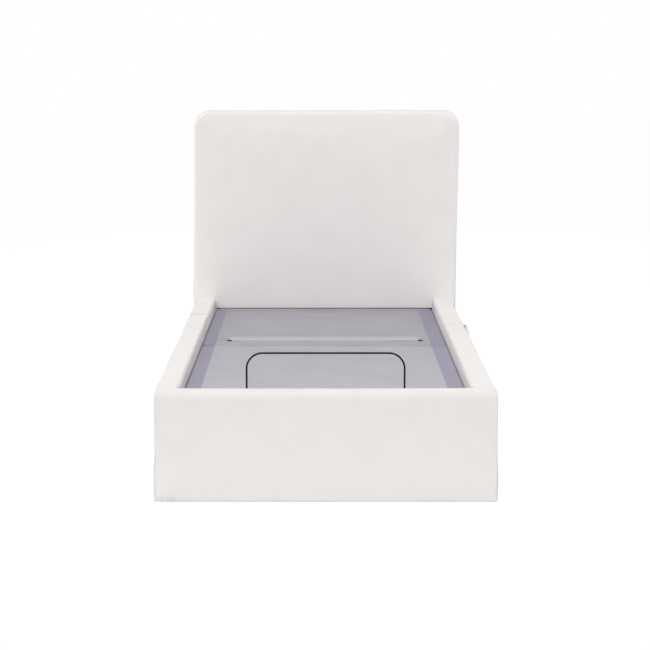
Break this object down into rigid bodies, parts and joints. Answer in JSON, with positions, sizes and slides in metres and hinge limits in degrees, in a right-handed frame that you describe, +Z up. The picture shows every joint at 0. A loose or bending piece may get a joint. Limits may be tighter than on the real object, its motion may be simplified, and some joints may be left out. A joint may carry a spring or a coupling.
{
  "type": "single adjustable bed",
  "caption": "Upholstered single bed with a headboard, a deck that lifts at the head and knees on geared drives, a foot retainer bar and a hooked handset.",
  "frame": {"origin": "middle of the bed's footprint, on the floor", "axes": "+X to the right seen from the foot, +Y along the bed to the headboard, +Z up"},
  "size_m": [1.105, 2.19, 1.13],
  "materials": {
    "cover_fabric": "woven upholstery cloth, matt off-white",
    "deck_fabric": "knitted cover cloth, grey with a lilac border",
    "core_timber": "planed softwood, unfinished",
    "plywood": "birch plywood, unfinished",
    "back_board": "thin fibreboard under off-white cloth",
    "frame_steel": "powder coat, satin near-black",
    "zinc_steel": "bright zinc plate",
    "bar_steel": "powder coat, satin black",
    "motor_steel": "smooth dark grey enamel",
    "drive_plastic": "fine moulded texture, dark grey",
    "block_plastic": "natural acetal, smooth",
    "bush_plastic": "natural nylon, smooth",
    "glide_plastic": "moulded black",
    "roller_plastic": "natural nylon, smooth",
    "control_plastic": "moulded, fine grain",
    "button_metal": "dark satin",
    "handset_plastic": "moulded, satin off-white",
    "key_plastic": "soft-touch grey",
    "shell_plastic": "moulded, matt mid grey",
    "holder_plastic": "moulded, matt, the cover's off-white"
  },
  "bodies": {
    "base": {"headboard_core": "core_timber", "headboard_pad": "cover_fabric", "headboard_back_panel": "back_board", "left_rail_core": "core_timber", "left_rail_cover": "cover_fabric", "right_rail_core": "core_timber", "right_rail_cover": "cover_fabric", "foot_panel_core": "core_timber", "foot_panel_cover": "cover_fabric", "corner_brackets": "zinc_steel", "corner_bolts": "zinc_steel", "surround_glides": "glide_plastic", "base_left_rail": "frame_steel", "base_right_rail": "frame_steel", "base_end_crossbars": "frame_steel", "base_middle_crossbars": "frame_steel", "headboard_brackets": "zinc_steel", "base_legs": "frame_steel", "leg_glides": "glide_plastic", "pivot_brackets": "frame_steel", "pivot_bushes": "bush_plastic", "head_drive_housing": "drive_plastic", "thigh_drive_housing": "drive_plastic", "head_drive_motor": "motor_steel", "thigh_drive_motor": "motor_steel", "drive_hangers": "zinc_steel", "control_box": "control_plastic", "mains_inlet": "control_plastic", "seat_board": "plywood", "seat_pad": "deck_fabric", "seat_risers": "frame_steel", "deck_buttons": "button_metal", "handset_holder": "holder_plastic"},
    "head_section": {"head_board": "plywood", "head_pad": "deck_fabric", "head_frame": "frame_steel", "head_torque_tube": "frame_steel", "head_levers": "frame_steel"},
    "thigh_section": {"thigh_board": "plywood", "thigh_pad": "deck_fabric", "thigh_frame": "frame_steel", "thigh_torque_tube": "frame_steel", "thigh_levers": "frame_steel", "knee_pins": "zinc_steel"},
    "foot_section": {"foot_board": "plywood", "foot_pad": "deck_fabric", "foot_frame": "frame_steel", "bar_sockets": "frame_steel"},
    "foot_rollers": {"foot_rollers": "roller_plastic"},
    "retainer_bar": {"retainer_bar": "bar_steel"},
    "head_push": {"head_push_block": "block_plastic"},
    "thigh_push": {"thigh_push_block": "block_plastic"},
    "handset": {"handset_back": "shell_plastic", "handset_front": "handset_plastic"},
    "head_up_key": {"head_up_key": "key_plastic"},
    "head_down_key": {"head_down_key": "key_plastic"},
    "legs_up_key": {"legs_up_key": "key_plastic"},
    "legs_down_key": {"legs_down_key": "key_plastic"},
    "flat_key": {"flat_key": "key_plastic"},
    "light_key": {"light_key": "key_plastic"}
  },
  "joints": [
    {"name": "head_lift", "type": "hinge", "parent": "base", "child": "head_section", "pos_m": [0, 0.2015, 0.248], "axis": [1, 0, 0], "range_deg": [0, 60]},
    {"name": "thigh_lift", "type": "hinge", "parent": "base", "child": "thigh_section", "pos_m": [0, 0.041, 0.248], "axis": [-1, 0, 0], "range_deg": [0, 30]},
    {"name": "knee_fold", "type": "hinge", "parent": "thigh_section", "child": "foot_section", "pos_m": [0, -0.384, 0.248], "axis": [1, 0, 0], "range_deg": [0, 51.4]},
    {"name": "roller_spin", "type": "hinge", "parent": "foot_section", "child": "foot_rollers", "pos_m": [0, -0.969, 0.2463], "axis": [1, 0, 0], "continuous": true},
    {"name": "bar_lift_out", "type": "slide", "parent": "foot_section", "child": "retainer_bar", "axis": [0, 0, 1], "range_m": [0, 0.06]},
    {"name": "head_drive_push", "type": "slide", "parent": "base", "child": "head_push", "axis": [0, 1, 0], "range_m": [0, 0.1101]},
    {"name": "thigh_drive_push", "type": "slide", "parent": "base", "child": "thigh_push", "axis": [0, -1, 0], "range_m": [0, 0.057]},
    {"name": "handset_lift_out", "type": "slide", "parent": "base", "child": "handset", "axis": [0, 0, 1], "range_m": [0, 0.062]},
    {"name": "head_up_key_press", "type": "slide", "parent": "handset", "child": "head_up_key", "axis": [-1, 0, 0], "range_m": [0, 0.001], "stiffness_N_per_m": 400, "springref_m": -0.0005},
    {"name": "head_down_key_press", "type": "slide", "parent": "handset", "child": "head_down_key", "axis": [-1, 0, 0], "range_m": [0, 0.001], "stiffness_N_per_m": 400, "springref_m": -0.0005},
    {"name": "legs_up_key_press", "type": "slide", "parent": "handset", "child": "legs_up_key", "axis": [-1, 0, 0], "range_m": [0, 0.001], "stiffness_N_per_m": 400, "springref_m": -0.0005},
    {"name": "legs_down_key_press", "type": "slide", "parent": "handset", "child": "legs_down_key", "axis": [-1, 0, 0], "range_m": [0, 0.001], "stiffness_N_per_m": 400, "springref_m": -0.0005},
    {"name": "flat_key_press", "type": "slide", "parent": "handset", "child": "flat_key", "axis": [-1, 0, 0], "range_m": [0, 0.001], "stiffness_N_per_m": 400, "springref_m": -0.0005},
    {"name": "light_key_press", "type": "slide", "parent": "handset", "child": "light_key", "axis": [-1, 0, 0], "range_m": [0, 0.001], "stiffness_N_per_m": 400, "springref_m": -0.0005}
  ],
  "couplings": [
    {"joint": "knee_fold", "follows": "thigh_lift", "ratio": 1.7104},
    {"joint": "head_drive_push", "follows": "head_lift", "m_per_rad": 0.10504},
    {"joint": "thigh_drive_push", "follows": "thigh_lift", "m_per_rad": 0.10875}
  ]
}
